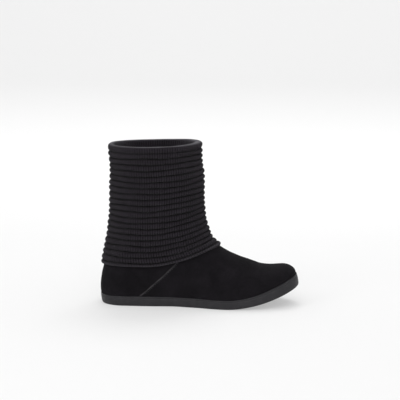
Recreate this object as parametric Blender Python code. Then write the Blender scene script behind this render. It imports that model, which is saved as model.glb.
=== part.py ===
"""Winter boot for the right foot: a suede lower on a flat rubber sole, with a knitted shaft that is
turned over at its top and comes back down over the ankle.

Metres, +Z up, toe towards +X, outer (lateral) side towards -Y. The boot stands on Z = 0 and the
origin is under the middle of its box.
"""

from collections import namedtuple

import bmesh
import bpy
import numpy as np
from mathutils import Matrix

MM = 0.001

# Driving sizes
LENGTH = 262 * MM  # heel's back to toe's tip
BALL_WIDTH = 94 * MM
HEEL_WIDTH = 65 * MM
BOOT_HEIGHT = 214.3 * MM  # floor to the top of the turned rim, at its front
RIM_DROP = 3.8 * MM  # the rim is this much lower at the calf
RIM_SAG = 1.2 * MM  # and sags this much between front and back
INSTEP_HEIGHT = 61 * MM  # ridge of the vamp at its throat, above the sole
SHAFT_WIDTH = 89 * MM  # across the shaft at the rim, between its two knit layers

# Sole
HEEL_THICKNESS = 13 * MM
FOREPART_THICKNESS = 12.2 * MM
TOE_THICKENING = 2.6 * MM
TOE_SPRING = 25.8 * MM
ARCH_LIFT = 0.5 * MM
SOLE_EDGE_STEP = 0.4 * MM  # the sole stands this far out past the upper
SOLE_EDGE_CHAMFER = 1.2 * MM
HEEL_UNDERCUT = 2 * MM
TOE_FLARE = 3.1 * MM
GROOVE_DEPTH = 1.8 * MM
GROOVE_WIDTH = 3 * MM
GROOVE_PITCH = 9.5 * MM
GROOVE_MARGIN = 9 * MM

# Upper
UPPER_WALL = 2 * MM
VAMP_LAP = 0.9 * MM  # the vamp stands this far over the quarter at their seam
LAP_RUN = 30 * MM  # the quarter comes back out to the form over this length
LASTING_MARGIN = 8 * MM
COLLAR_LAP = 33 * MM  # how far the suede reaches up under the knit

# Insole
INSOLE_THICKNESS = 3 * MM

# Knitted shaft
HEM_HEIGHT = 39.5 * MM  # above the sole, round the heel
HEM_LIFT = 25.5 * MM  # how much higher the hem crosses the instep
OUTER_LAYER = 3.8 * MM
INNER_LAYER = 3.6 * MM
WELT_COUNT = 19
WELT_DEPTH = 2.2 * MM
HEM_BAND = 4.4 * MM
RIM_BAND = 8.5 * MM
RIM_FULLNESS = 3 * MM  # the turned rim stands this much fuller at the shin

CLEARANCE = 0.3 * MM  # between pieces that touch

# Mesh density
REAR_COLUMNS = 9  # along each side, from the heel's back to the seam
FRONT_COLUMNS = 14  # along each side, from the seam to the front
SIDE_SAMPLES = 240
LATERAL, MEDIAL = -1, 1

# Plan of the sole. along: share of LENGTH. centre: the foot's own curve, share of BALL_WIDTH.
# heel, ball: how much of half the heel width and half the ball width the half width there has.
OutlineRow = namedtuple("OutlineRow", "along centre heel ball")
OUTLINE = [
    OutlineRow(0.00, -0.005, 1.00, 0.000),
    OutlineRow(0.13, -0.006, 1.00, 0.004),
    OutlineRow(0.27, -0.013, 0.95, 0.030),
    OutlineRow(0.36, -0.032, 0.65, 0.210),
    OutlineRow(0.48, -0.050, 0.35, 0.476),
    OutlineRow(0.57, -0.050, 0.12, 0.774),
    OutlineRow(0.63, -0.040, 0.00, 0.940),
    OutlineRow(0.70, -0.018, 0.00, 0.996),
    OutlineRow(0.78, 0.006, 0.00, 0.985),
    OutlineRow(0.86, 0.025, 0.00, 0.943),
    OutlineRow(0.92, 0.033, 0.00, 0.905),
    OutlineRow(1.00, 0.040, 0.00, 0.872),
]

# Front line of the form, from the toe's tip over the vamp and up the shin. foot: share of
# INSTEP_HEIGHT above the sole, leg: share of the shaft's height above that, along: share of LENGTH.
ProfileRow = namedtuple("ProfileRow", "foot leg along")
FRONT_LINE = [
    ProfileRow(0.000, 0.000, 0.9866),
    ProfileRow(0.101, 0.000, 0.9780),
    ProfileRow(0.229, 0.000, 0.9546),
    ProfileRow(0.318, 0.000, 0.9244),
    ProfileRow(0.371, 0.000, 0.8939),
    ProfileRow(0.415, 0.000, 0.8637),
    ProfileRow(0.466, 0.000, 0.8336),
    ProfileRow(0.535, 0.000, 0.8031),
    ProfileRow(0.633, 0.000, 0.7729),
    ProfileRow(0.783, 0.000, 0.7126),
    ProfileRow(0.924, 0.000, 0.6519),
    ProfileRow(1.000, 0.000, 0.6170),
    ProfileRow(1.000, 0.027, 0.5954),
    ProfileRow(1.000, 0.058, 0.5725),
    ProfileRow(1.000, 0.095, 0.5534),
    ProfileRow(1.000, 0.143, 0.5393),
    ProfileRow(1.000, 0.198, 0.5300),
    ProfileRow(1.000, 0.250, 0.5215),
    ProfileRow(1.000, 0.300, 0.5153),
    ProfileRow(1.000, 0.380, 0.5103),
    ProfileRow(1.000, 0.480, 0.5068),
    ProfileRow(1.000, 0.580, 0.5072),
    ProfileRow(1.000, 0.730, 0.5046),
    ProfileRow(1.000, 0.830, 0.4962),
    ProfileRow(1.000, 0.920, 0.4931),
    ProfileRow(1.000, 1.000, 0.4943),
]

# Back line of the form, from the feather edge up the heel and the calf, with the same columns.
BACK_LINE = [
    ProfileRow(0.000, 0.000, 0.0027),
    ProfileRow(0.066, 0.000, 0.0008),
    ProfileRow(0.164, 0.000, 0.0000),
    ProfileRow(0.262, 0.000, 0.0008),
    ProfileRow(0.361, 0.000, 0.0034),
    ProfileRow(0.443, 0.000, 0.0065),
    ProfileRow(0.525, 0.000, 0.0115),
    ProfileRow(0.607, 0.000, 0.0164),
    ProfileRow(0.705, 0.000, 0.0206),
    ProfileRow(0.820, 0.000, 0.0248),
    ProfileRow(0.951, 0.000, 0.0305),
    ProfileRow(1.000, 0.059, 0.0385),
    ProfileRow(1.000, 0.140, 0.0458),
    ProfileRow(1.000, 0.228, 0.0527),
    ProfileRow(1.000, 0.323, 0.0580),
    ProfileRow(1.000, 0.433, 0.0603),
    ProfileRow(1.000, 0.616, 0.0618),
    ProfileRow(1.000, 0.800, 0.0634),
    ProfileRow(1.000, 0.910, 0.0557),
    ProfileRow(1.000, 1.000, 0.0527),
]

# Half width of the leg's round section, share of half SHAFT_WIDTH, with the same heights.
LegRow = namedtuple("LegRow", "foot leg half")
LEG_WIDTHS = [
    LegRow(0.00, 0.00, 0.790),
    LegRow(0.66, 0.00, 0.805),
    LegRow(1.00, 0.15, 0.835),
    LegRow(1.00, 0.36, 0.890),
    LegRow(1.00, 0.60, 0.935),
    LegRow(1.00, 0.84, 0.970),
    LegRow(1.00, 1.00, 1.000),
]

# Height of the hem. along: share of LENGTH, lift: share of HEM_LIFT.
HemRow = namedtuple("HemRow", "along lift")
HEM_LINE = [
    HemRow(0.000, 0.00),
    HemRow(0.220, 0.00),
    HemRow(0.300, 0.06),
    HemRow(0.357, 0.18),
    HemRow(0.435, 0.39),
    HemRow(0.490, 0.60),
    HemRow(0.530, 0.765),
    HemRow(0.570, 0.90),
    HemRow(0.610, 0.98),
    HemRow(0.660, 1.00),
]

# Side seam, where the vamp laps over the quarter. foot, leg: heights as above, along: share of LENGTH.
SEAM_LINE = [
    ProfileRow(0.00, 0.00, 0.208),
    ProfileRow(0.15, 0.00, 0.248),
    ProfileRow(0.30, 0.00, 0.286),
    ProfileRow(0.49, 0.00, 0.341),
    ProfileRow(0.72, 0.00, 0.404),
    ProfileRow(1.00, 0.00, 0.434),
    ProfileRow(1.00, 0.15, 0.415),
    ProfileRow(1.00, 0.35, 0.300),
    ProfileRow(1.00, 1.00, 0.270),
]
SEAM_STEP_RUN = 0.6 * MM

FEATHER_FRONT = FRONT_LINE[0].along * LENGTH
TOE_START = 0.74 * LENGTH  # where the toe's round begins
TOE_ROUNDNESS = 2.25
HEEL_ROUNDNESS = 2.2
LEG_ROUNDNESS = 2.25
SPRING_START = 0.63 * LENGTH
SPRING_POWER = 1.84
ARCH_REACH = (0.27 * LENGTH, 0.50 * LENGTH)
WAIST = 0.35 * LENGTH
LEG_BLEND = (0.40 * INSTEP_HEIGHT, 1.35 * INSTEP_HEIGHT)  # foot sections turn into leg sections
RIM_MIDDLE, RIM_REACH = 0.274, 0.235  # middle and half length of the rim, share of LENGTH
RIM_RISE = BOOT_HEIGHT - RIM_DROP - HEEL_THICKNESS
LEG_HEIGHT = RIM_RISE - INSTEP_HEIGHT


def smooth_curve(places, values):
    """A curve through the points of a table, with no overshoot between them."""
    at, value = np.asarray(places, float), np.asarray(values, float)
    widths = np.diff(at)
    slopes = np.diff(value) / widths
    tangents = np.concatenate([slopes[:1], np.zeros(len(at) - 2), slopes[-1:]])
    for i in range(1, len(at) - 1):
        if slopes[i - 1] * slopes[i] > 0:
            tangents[i] = 2 / (1 / slopes[i - 1] + 1 / slopes[i])

    def curve(x):
        x = np.clip(x, at[0], at[-1])
        i = np.clip(np.searchsorted(at, x, side="right") - 1, 0, len(widths) - 1)
        t = (x - at[i]) / widths[i]
        start = (1 + 2 * t) * (1 - t) ** 2 * value[i] + t * (1 - t) ** 2 * widths[i] * tangents[i]
        end = t**2 * (3 - 2 * t) * value[i + 1] + t**2 * (t - 1) * widths[i] * tangents[i + 1]
        return start + end

    return curve


def smooth_step(x, low, high):
    """0 below low, 1 above high, and an even turn between them."""
    t = np.clip((x - low) / (high - low), 0, 1)
    return t * t * (3 - 2 * t)


def row_rise(row):
    """Height above the sole that a row of a profile stands for."""
    return row.foot * INSTEP_HEIGHT + row.leg * LEG_HEIGHT


def line_by_rise(rows):
    """X along the boot as a curve of the height above the sole."""
    return smooth_curve([row_rise(r) for r in rows], [r.along * LENGTH for r in rows])


ALONG = [r.along * LENGTH for r in OUTLINE]
plan_centre = smooth_curve(ALONG, [r.centre * BALL_WIDTH for r in OUTLINE])
plan_half = smooth_curve(ALONG, [(r.heel * HEEL_WIDTH + r.ball * BALL_WIDTH) / 2 for r in OUTLINE])
front_x = line_by_rise(FRONT_LINE)
back_x = line_by_rise(BACK_LINE)
seam_x = line_by_rise(SEAM_LINE)
leg_half = smooth_curve([row_rise(r) for r in LEG_WIDTHS], [r.half * SHAFT_WIDTH / 2 for r in LEG_WIDTHS])
hem_rise = smooth_curve(
    [r.along * LENGTH for r in HEM_LINE], [HEM_HEIGHT + r.lift * HEM_LIFT for r in HEM_LINE]
)


def sole_bottom(x):
    """Height of the sole's underside: flat heel, low arch, flat ball, then the toe spring."""
    ahead = np.clip((x - SPRING_START) / (LENGTH - SPRING_START), 0, None)
    middle = np.clip((x - ARCH_REACH[0]) / (ARCH_REACH[1] - ARCH_REACH[0]), 0, 1)
    return TOE_SPRING * ahead**SPRING_POWER + ARCH_LIFT * np.sin(np.pi * middle) ** 2


def sole_top(x):
    """Height of the sole's upper face. Its thickness is square to the toe spring."""
    ahead = np.clip((x - SPRING_START) / (LENGTH - SPRING_START), 0, None)
    slope = TOE_SPRING * SPRING_POWER * ahead ** (SPRING_POWER - 1) / (LENGTH - SPRING_START)
    thinning = smooth_step(x, 0.34 * LENGTH, 0.60 * LENGTH)
    thickness = HEEL_THICKNESS + (FOREPART_THICKNESS - HEEL_THICKNESS) * thinning
    thickness = thickness + TOE_THICKENING * smooth_step(x, 0.70 * LENGTH, 0.95 * LENGTH)
    return TOE_SPRING * ahead**SPRING_POWER + thickness * np.sqrt(1 + slope**2)


def crown(x):
    """Height of the vamp's ridge above the sole at x, without limit where the leg stands."""
    rises = np.linspace(0, 1.6 * INSTEP_HEIGHT, 400)
    xs = front_x(rises)
    return np.interp(x, np.append(xs[::-1], LENGTH), np.append(rises[::-1], 0)) + 4 * np.clip(
        xs[-1] - x, 0, None
    )


def rim_rise(x):
    """Height of the rim above the sole."""
    sag = RIM_SAG * np.clip(1 - ((x / LENGTH - RIM_MIDDLE) / RIM_REACH) ** 2, 0, 1)
    return BOOT_HEIGHT - RIM_DROP * (1 - np.clip(2 * x / LENGTH, 0, 1)) - sag - sole_top(x)


def leg_level(share):
    """Height above the sole, as a function of x, at a share of the way from hem to rim."""
    return lambda x: hem_rise(x) + share * (rim_rise(x) - hem_rise(x))


def foot_level(share):
    """Height above the sole, as a function of x, at a share of the way from sole to hem."""
    return lambda x: CLEARANCE + share * (hem_rise(x) - CLEARANCE)


def flat_level(rise):
    """The same height above the sole everywhere."""
    return lambda x: rise + 0 * x


def ring_ends(level):
    """X of the form's back and front at a level."""
    back = back_x(level(0.0))
    low, high = WAIST, FEATHER_FRONT
    for _ in range(40):
        middle = (low + high) / 2
        if front_x(level(middle)) > middle:
            low = middle
        else:
            high = middle
    return back, (low + high) / 2


def half_section(x, rise, back, front):
    """Centre line and half width of the form at x and a height above the sole."""
    behind = (x - back) * WAIST / (WAIST - back)
    plan = np.where(x < WAIST, behind, x)
    heel = 1 - np.clip(2 * plan / HEEL_WIDTH, 0, 1)
    heel_round = (1 - heel**HEEL_ROUNDNESS) ** (1 / HEEL_ROUNDNESS)
    toe = np.clip((x - TOE_START) / (FEATHER_FRONT - TOE_START), 0, 1)
    toe_round = (1 - toe**TOE_ROUNDNESS) ** (1 / TOE_ROUNDNESS)
    fullness = 1.75 + 0.45 * smooth_step(x, 0.57 * LENGTH, 0.90 * LENGTH)
    dome = (1 - np.clip(rise / crown(x), 0, 1) ** fullness) ** (1 / fullness)
    foot = plan_half(plan) * heel_round * toe_round * dome
    share = np.clip((x - back) / (front - back), 0, 1)
    leg = leg_half(rise) * (1 - np.abs(2 * share - 1) ** LEG_ROUNDNESS) ** (1 / LEG_ROUNDNESS)
    to_leg = smooth_step(rise, *LEG_BLEND)
    return plan_centre(x) * (1 - to_leg), foot * (1 - to_leg) + leg * to_leg


def column_places(line, seam):
    """Points of one side of a ring, from back to front, with two of them astride the seam."""
    steps = np.linalg.norm(np.diff(line, axis=0), axis=1)
    run = np.concatenate([[0], np.cumsum(steps)])
    before, after = np.interp([seam - SEAM_STEP_RUN / 2, seam + SEAM_STEP_RUN / 2], line[:, 0], run)
    bunching = 1.25  # closer together at the round ends
    rear = before * np.linspace(0, 1, REAR_COLUMNS + 1) ** bunching
    fore = run[-1] - (run[-1] - after) * np.linspace(1, 0, FRONT_COLUMNS + 1) ** bunching
    return np.column_stack([np.interp(np.append(rear, fore), run, line[:, k]) for k in range(3)])


def form_ring(level):
    """One closed section of the form: from the heel's back along the outer side to the front, then
    back along the inner side."""
    back, front = ring_ends(level)
    x = back + (front - back) * (1 - np.cos(np.linspace(0, np.pi, SIDE_SAMPLES))) / 2
    rise = level(x)
    centre, half = half_section(x, rise, back, front)
    seam = seam_x(level(0.3 * LENGTH))
    sides = [
        column_places(np.column_stack([x, centre + side * half, sole_top(x) + rise]), seam)
        for side in (LATERAL, MEDIAL)
    ]
    return np.concatenate([sides[0], sides[1][-2:0:-1]])


def around(ring):
    """Direction along a ring at each of its points."""
    way = np.roll(ring, -1, axis=0) - np.roll(ring, 1, axis=0)
    return way / np.linalg.norm(way, axis=1)[:, None]


def offset(level, distance):
    """The form's ring at a level, moved out square to the form's surface."""
    ring = form_ring(level)
    probe = 2 * MM
    over = form_ring(lambda x: level(x) + probe)
    under = form_ring(lambda x: np.maximum(level(x) - probe, 0))
    out = np.cross(around(ring), over - under)
    return ring + out / np.linalg.norm(out, axis=1)[:, None] * np.reshape(distance, (-1, 1))


def plan_offset(ring, distance):
    """A ring moved out in plan only. Its heights stay as they are."""
    way = around(ring * (1, 1, 0))
    out = np.column_stack([way[:, 1], -way[:, 0], 0 * way[:, 0]])
    return ring + out * np.reshape(distance, (-1, 1))


def on_height(ring, height):
    """A ring with its heights set from its own x."""
    return np.column_stack([ring[:, 0], ring[:, 1], height(ring[:, 0])])


def quarter_recess(level, ring):
    """How far the quarter lies under the vamp's face at each point of a ring."""
    behind = seam_x(level(0.3 * LENGTH)) - ring[:, 0]
    return np.where(behind > 0, VAMP_LAP * np.clip(1 - behind / LAP_RUN, 0, 1), 0)


def make_object(name, mesh_data, material, collection):
    """A finished mesh as a named object with its material, its faces pointing out."""
    mesh = bpy.data.meshes.new(name)
    bmesh.ops.recalc_face_normals(mesh_data, faces=mesh_data.faces)
    mesh_data.to_mesh(mesh)
    mesh_data.free()
    mesh.shade_smooth()
    mesh.set_sharp_from_angle(angle=np.radians(50))
    mesh.materials.append(material)
    made = bpy.data.objects.new(name, mesh)
    collection.objects.link(made)
    return made


def loft(rings, closed):
    """A loft through rings of equal count: a closed tube wall, or a solid with laddered ends."""
    made = bmesh.new()
    rows = [[made.verts.new(point) for point in ring] for ring in rings]
    count = len(rows[0])
    pairs = zip(rows, rows[1:] + rows[:1]) if closed else zip(rows, rows[1:])
    for first, second in pairs:
        rising = sum(v.co.z for v in second) > sum(v.co.z for v in first)
        lower, upper = (first, second) if rising else (second, first)
        for i in range(count):
            j = (i + 1) % count
            made.faces.new((lower[i], lower[j], upper[j], upper[i]))
    for row in () if closed else (rows[0], rows[-1]):
        half = count // 2
        made.faces.new((row[0], row[1], row[-1]))
        made.faces.new((row[half - 1], row[half], row[half + 1]))
        for i in range(1, half - 1):
            made.faces.new((row[i], row[i + 1], row[count - i - 1], row[count - i]))
    return made


def make_material(name, colour, roughness):
    """A Principled material with the piece's colour and roughness."""
    made = bpy.data.materials.new(name)
    made.use_nodes = True
    shader = made.node_tree.nodes["Principled BSDF"]
    shader.inputs["Base Color"].default_value = (*colour, 1)
    shader.inputs["Roughness"].default_value = roughness
    shader.inputs["Metallic"].default_value = 0
    return made


def make_outsole(parts):
    """Flat unit sole with a plain side, and a low plateau that fills the gap between the lasting
    margins."""
    feather = form_ring(flat_level(0))
    x = feather[:, 0]
    top = plan_offset(feather, SOLE_EDGE_STEP)
    heel_share = 1 - smooth_step(x, 0, 0.22 * LENGTH)
    toe_share = smooth_step(x, 0.62 * LENGTH, 0.94 * LENGTH)
    undercut = HEEL_UNDERCUT * (0.25 + 0.75 * heel_share) * (1 - toe_share)
    foot = plan_offset(top, TOE_FLARE * toe_share - undercut)
    plateau = plan_offset(feather, -(LASTING_MARGIN + CLEARANCE))
    middle = plan_offset((top + foot) / 2, 0.5 * MM)

    def height(share):
        return lambda place: sole_bottom(place) + share * (sole_top(place) - sole_bottom(place))

    def above_bottom(rise):
        return lambda place: sole_bottom(place) + rise

    rings = [
        on_height(plateau, lambda place: sole_top(place) + UPPER_WALL),
        on_height(plateau, sole_top),
        on_height(plan_offset(top, -SOLE_EDGE_CHAMFER), sole_top),
        on_height(top, lambda place: sole_top(place) - SOLE_EDGE_CHAMFER / 2),
        on_height(middle, height(0.5)),
        on_height(foot, above_bottom(SOLE_EDGE_CHAMFER)),
        on_height(plan_offset(foot, -SOLE_EDGE_CHAMFER), sole_bottom),
    ]
    rubber = make_material("sole_rubber", (0.040, 0.040, 0.044), 0.62)
    return make_object("outsole", loft(rings, closed=False), rubber, parts)


def cut_grooves(outsole, cutters):
    """Cross grooves in the tread of heel and forefoot, clear of the sole's edge."""
    tool = bmesh.new()
    for first, last in ((0.045, 0.255), (0.515, 0.925)):
        count = int((last - first) * LENGTH / GROOVE_PITCH) + 1
        for place in first * LENGTH + GROOVE_PITCH * np.arange(count):
            nearby = np.array([place - GROOVE_PITCH / 2, place, place + GROOVE_PITCH / 2])
            centre, half = half_section(nearby, 0, back_x(0.0), FEATHER_FRONT)
            reach = half.min() - GROOVE_MARGIN
            tilt = np.arctan2(sole_bottom(place + MM) - sole_bottom(place - MM), 2 * MM)
            matrix = (
                Matrix.Translation((place, centre[1], sole_bottom(place)))
                @ Matrix.Rotation(-tilt, 4, "Y")
                @ Matrix.Diagonal((GROOVE_WIDTH, 2 * reach, 2 * GROOVE_DEPTH, 1))
            )
            bmesh.ops.create_cube(tool, size=1, matrix=matrix)
    cutter = make_object("groove_cutter", tool, outsole.data.materials[0], cutters)
    cutter.hide_render = True
    cutter.display_type = "WIRE"
    cut = outsole.modifiers.new("grooves", "BOOLEAN")
    cut.operation = "DIFFERENCE"
    cut.solver = "EXACT"
    cut.object = cutter
    return cutter


def collar_share():
    """Share of the way from hem to rim at which the suede ends."""
    return COLLAR_LAP / (RIM_RISE - HEM_HEIGHT)


def lap_levels():
    """Levels of the suede that the knit covers, which both pieces share."""
    return [leg_level(share * collar_share()) for share in (0, 0.34, 0.67, 1)]


def make_upper(parts):
    """Suede lower: one wall from the lasting margin up to its collar under the knit. The vamp
    stands over the quarter along the side seam."""
    foot_shares = (0, 0.05, 0.11, 0.18, 0.26, 0.35, 0.45, 0.56, 0.67, 0.79, 0.90)
    levels = [foot_level(share) for share in foot_shares] + lap_levels()
    outer = [offset(level, -quarter_recess(level, form_ring(level))) for level in levels]
    inner = [offset(level, -UPPER_WALL - VAMP_LAP / 2) for level in levels[:0:-2]]
    floor = flat_level(CLEARANCE + UPPER_WALL)
    inside_edge = plan_offset(form_ring(flat_level(0)), -LASTING_MARGIN)
    margin = [
        on_height(inside_edge, lambda x: sole_top(x) + CLEARANCE + UPPER_WALL),
        on_height(inside_edge, lambda x: sole_top(x) + CLEARANCE),
    ]
    rings = outer + inner + [offset(floor, -UPPER_WALL - VAMP_LAP / 2)] + margin
    suede = make_material("suede", (0.010, 0.010, 0.011), 0.95)
    return make_object("upper", loft(rings, closed=True), suede, parts)


def make_insole(parts):
    """Insole board with its cover, lying on the lasting margin inside the wall."""
    under = 3 * CLEARANCE + UPPER_WALL
    fit = -(UPPER_WALL + VAMP_LAP / 2 + 2 * CLEARANCE)
    edge = 0.8 * MM
    rings = [
        plan_offset(offset(flat_level(under), fit), -edge),
        offset(flat_level(under + edge), fit),
        offset(flat_level(under + INSOLE_THICKNESS - edge), fit),
        plan_offset(offset(flat_level(under + INSOLE_THICKNESS), fit), -edge),
    ]
    cover = make_material("insole_cover", (0.030, 0.030, 0.032), 0.9)
    return make_object("insole", loft(rings, closed=False), cover, parts)


def fold_fullness(share, ring):
    """How much thicker the wall is where its turn stands loose, at the shin."""
    ahead = smooth_step(ring[:, 0], 0.36 * LENGTH, 0.49 * LENGTH)
    return RIM_FULLNESS * ahead * smooth_step(share, 0.82, 0.94)


def make_shaft(parts):
    """Knitted shaft: the inner layer stands on the suede's collar, is turned over at the rim and
    comes down outside as a cuff with level welts, to a hem that rises over the instep."""
    drop = RIM_RISE - HEM_HEIGHT
    hem, rim = HEM_BAND / drop, 1 - RIM_BAND / drop
    crest, valley = OUTER_LAYER, OUTER_LAYER - WELT_DEPTH
    wall = OUTER_LAYER + INNER_LAYER
    middle = (OUTER_LAYER - INNER_LAYER) / 2
    pitch = (rim - hem) / WELT_COUNT
    face = [(0.0, 0.55 * crest), (0.22 * hem, 0.93 * crest), (0.7 * hem, 0.93 * crest)]
    for welt in range(WELT_COUNT):
        for part, out in ((0, valley), (0.27, crest), (0.73, crest)):
            face.append((hem + (welt + part) * pitch, out))
    face.append((rim, valley))
    turn = wall / 2
    for angle in (0.0, 0.20, 0.38, 0.5, 0.62, 0.80, 1.0):
        out = middle + turn * np.cos(np.pi * angle)
        face.append((1 - turn * (1 - np.sin(np.pi * angle)) / drop, out))
    lining = [(share, -INNER_LAYER) for share in (0.91, 0.82, 0.62, 0.42)]
    rings = []
    for share, out in face + lining:
        inward = (OUTER_LAYER - out) / wall * fold_fullness(share, form_ring(leg_level(share)))
        rings.append(offset(leg_level(share), out - inward))
    seat = collar_share() + CLEARANCE / drop
    rings += [offset(leg_level(seat), -INNER_LAYER), offset(leg_level(seat), CLEARANCE)]
    rings += [offset(level, CLEARANCE) for level in lap_levels()[2::-1]]
    knit = make_material("knit_wool", (0.020, 0.019, 0.022), 1.0)
    return make_object("shaft", loft(rings, closed=True), knit, parts)


def centre_on_floor(objects):
    """Moves everything so that the origin is under the middle of the boot's box."""
    points = np.array([v.co[:2] for o in objects if not o.hide_render for v in o.data.vertices])
    middle = (points.min(axis=0) + points.max(axis=0)) / 2
    for o in objects:
        o.data.transform(Matrix.Translation((-middle[0], -middle[1], 0)))


def main():
    for old in list(bpy.data.objects):
        bpy.data.objects.remove(old)
    parts = bpy.data.collections.new("winter_boot")
    cutters = bpy.data.collections.new("cutters")
    bpy.context.scene.collection.children.link(parts)
    bpy.context.scene.collection.children.link(cutters)
    outsole = make_outsole(parts)
    groove_cutter = cut_grooves(outsole, cutters)
    pieces = [outsole, groove_cutter, make_upper(parts), make_insole(parts), make_shaft(parts)]
    centre_on_floor(pieces)


main()
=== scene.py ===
"""Looks of the winter boot: suede lower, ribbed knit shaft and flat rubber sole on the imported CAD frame.

Metres, +Z up, toe towards +X, outer (lateral) side towards -Y, origin under the middle of the boot.
"""

import logging
import math
from dataclasses import dataclass, field
from enum import Enum
from typing import Callable, NamedTuple, Optional, Sequence, Union

import bpy
import numpy as np
from mathutils import Matrix, Vector

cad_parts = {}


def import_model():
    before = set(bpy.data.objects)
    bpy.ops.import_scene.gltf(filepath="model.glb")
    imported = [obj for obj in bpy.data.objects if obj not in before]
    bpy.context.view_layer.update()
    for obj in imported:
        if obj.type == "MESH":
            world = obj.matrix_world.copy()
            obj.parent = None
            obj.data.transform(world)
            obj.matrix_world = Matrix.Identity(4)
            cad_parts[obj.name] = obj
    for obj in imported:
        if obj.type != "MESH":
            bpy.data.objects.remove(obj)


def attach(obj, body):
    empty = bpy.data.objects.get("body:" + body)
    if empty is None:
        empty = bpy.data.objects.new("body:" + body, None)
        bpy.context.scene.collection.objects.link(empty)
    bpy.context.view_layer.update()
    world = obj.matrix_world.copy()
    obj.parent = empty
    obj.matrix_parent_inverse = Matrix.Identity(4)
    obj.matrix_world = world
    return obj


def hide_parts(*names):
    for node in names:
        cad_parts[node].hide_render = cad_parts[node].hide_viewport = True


LOG = logging.getLogger("winter_boot")
MM = 0.001
ROOT = "root"

Level = Callable[[np.ndarray], np.ndarray]
Tree = bpy.types.NodeTree
Socket = bpy.types.NodeSocket

# Places of the suede's columns from the side seam, in mm
SEAM_COLUMNS = (-6, -4.4, -3.2, -2.2, -1.4, -0.8, -0.35, -0.05, 0.2, 0.5, 0.9, 1.4, 2.1, 3.0, 4.2)


class Side(Enum):
    """The two sides of the boot, by the sign of Y."""

    LATERAL = -1
    MEDIAL = 1


class OutlineRow(NamedTuple):
    """Plan of the sole. along: share of the length. centre: share of the ball's width. heel and
    ball: how much of half of each width the half width has there."""

    along: float
    centre: float
    heel: float
    ball: float


class ProfileRow(NamedTuple):
    """Point of a side line. foot: share of the instep's height. leg: share of the leg's height
    above that. along: share of the length."""

    foot: float
    leg: float
    along: float


class HemRow(NamedTuple):
    """Height of the hem. along: share of the length. lift: share of the hem's whole lift."""

    along: float
    lift: float


def smooth_curve(places: Sequence[float], values: Sequence[float]) -> Level:
    """A curve through the points of a table, with no overshoot between them.

    Args:
        places: where the values are, rising.
        values: the value at each place.

    Returns:
        A function of a place or an array of places.
    """
    at, value = np.asarray(places, float), np.asarray(values, float)
    widths = np.diff(at)
    slopes = np.diff(value) / widths
    tangents = np.concatenate([slopes[:1], np.zeros(len(at) - 2), slopes[-1:]])
    for i in range(1, len(at) - 1):
        if slopes[i - 1] * slopes[i] > 0:
            tangents[i] = 2 / (1 / slopes[i - 1] + 1 / slopes[i])

    def curve(x: np.ndarray) -> np.ndarray:
        """Value of the curve at x."""
        x = np.clip(x, at[0], at[-1])
        i = np.clip(np.searchsorted(at, x, side="right") - 1, 0, len(widths) - 1)
        t = (x - at[i]) / widths[i]
        start = (1 + 2 * t) * (1 - t) ** 2 * value[i] + t * (1 - t) ** 2 * widths[i] * tangents[i]
        end = t**2 * (3 - 2 * t) * value[i + 1] + t**2 * (t - 1) * widths[i] * tangents[i + 1]
        return start + end

    return curve


def smooth_step(x: np.ndarray, low: float, high: float) -> np.ndarray:
    """0 below low, 1 above high, and an even turn between them."""
    t = np.clip((x - low) / (high - low), 0, 1)
    return t * t * (3 - 2 * t)


def hump(x: np.ndarray, middle: float, width: float) -> np.ndarray:
    """1 at the middle, falling off softly on both sides of it."""
    return np.exp(-(((x - middle) / width) ** 2))


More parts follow.
